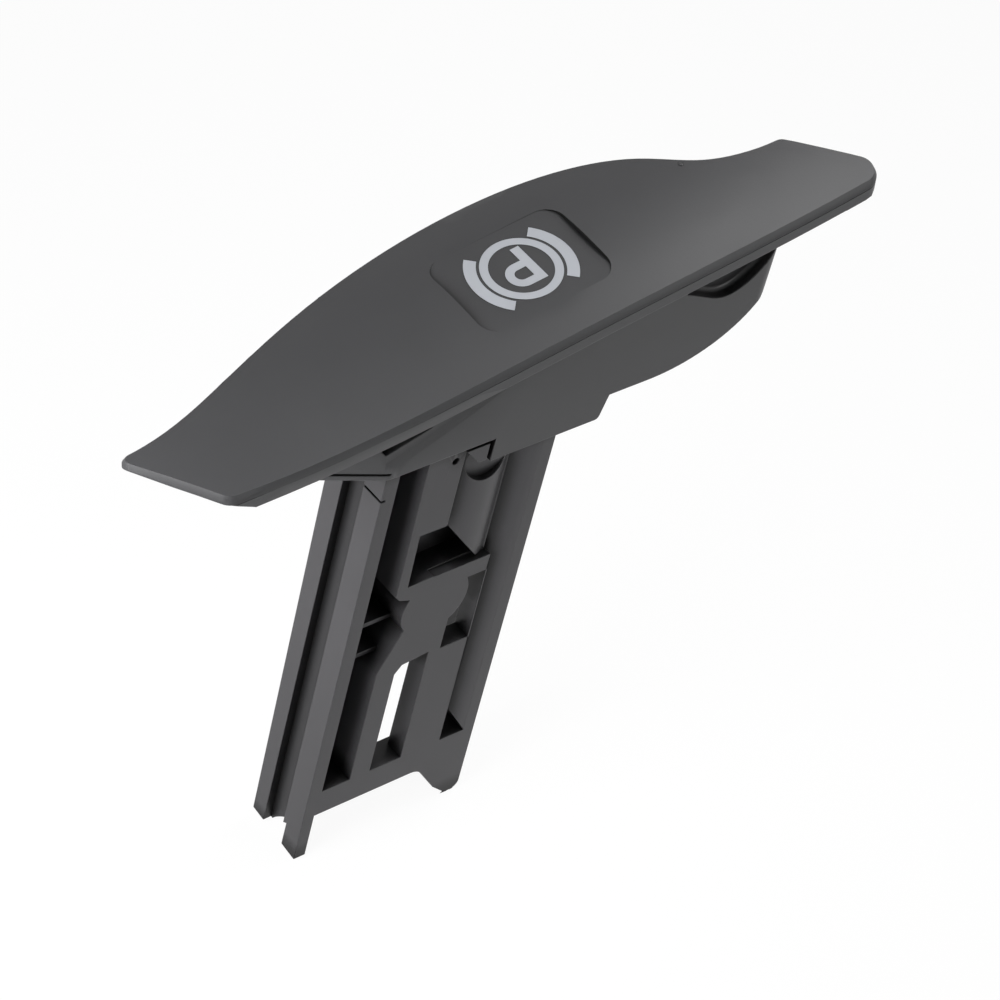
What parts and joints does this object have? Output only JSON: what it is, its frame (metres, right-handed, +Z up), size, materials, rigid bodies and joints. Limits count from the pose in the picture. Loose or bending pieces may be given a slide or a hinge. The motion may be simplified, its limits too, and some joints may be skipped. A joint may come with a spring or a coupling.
{
  "type": "parking brake release handle",
  "caption": "T-shaped pull handle: a long crowned grip plate with flared ends over a boat-shaped hull, on a flat guide stem with side grooves.",
  "frame": {"origin": "on the stem's centre line, at the rim where the stem enters the grip", "axes": "+Z up the stem towards the grip, +X along the grip towards its higher end, +Y from the near straight edge to the far bowed edge"},
  "size_m": [0.1211, 0.0293, 0.1158],
  "materials": {
    "cover_plastic": "fine satin grain, dark grey",
    "shell_plastic": "satin, dark grey",
    "stem_plastic": "satin, black",
    "symbol_print": "printed light grey"
  },
  "bodies": {
    "root": {"grip_cover": "cover_plastic", "grip_shell": "shell_plastic", "stem": "stem_plastic"}
  },
  "joints": []
}
